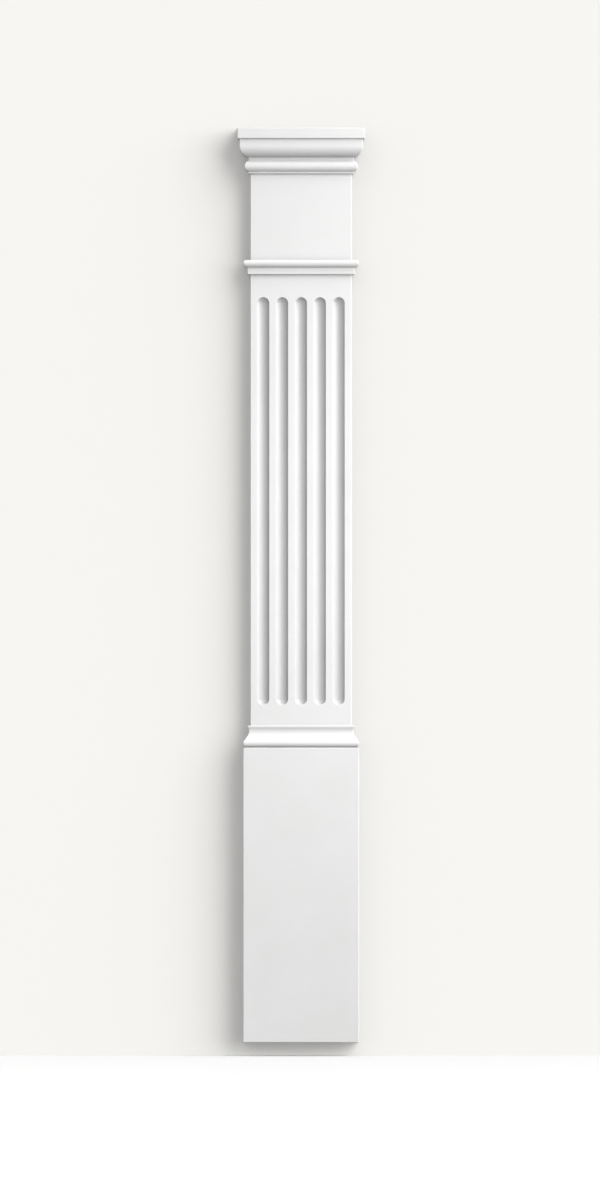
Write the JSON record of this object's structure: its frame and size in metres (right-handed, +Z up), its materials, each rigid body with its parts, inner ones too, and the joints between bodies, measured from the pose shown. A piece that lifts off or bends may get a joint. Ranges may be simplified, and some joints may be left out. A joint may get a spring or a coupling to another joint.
{
  "type": "pilaster",
  "caption": "Fluted wall pilaster with a plain plinth, moulded base, astragal, plain neck and stepped cap, flat at the back.",
  "frame": {"origin": "middle of the bottom edge of the flat back, where the wall meets the floor", "axes": "+Z up along the shaft, +Y into the wall, so the fluted front faces -Y, +X to the right of someone who looks at the front"},
  "size_m": [0.319, 0.0745, 2.286],
  "materials": {
    "primed_urethane": "factory-primed white moulded urethane, smooth with a fine eggshell texture"
  },
  "bodies": {
    "root": {"pilaster": "primed_urethane"}
  },
  "joints": []
}
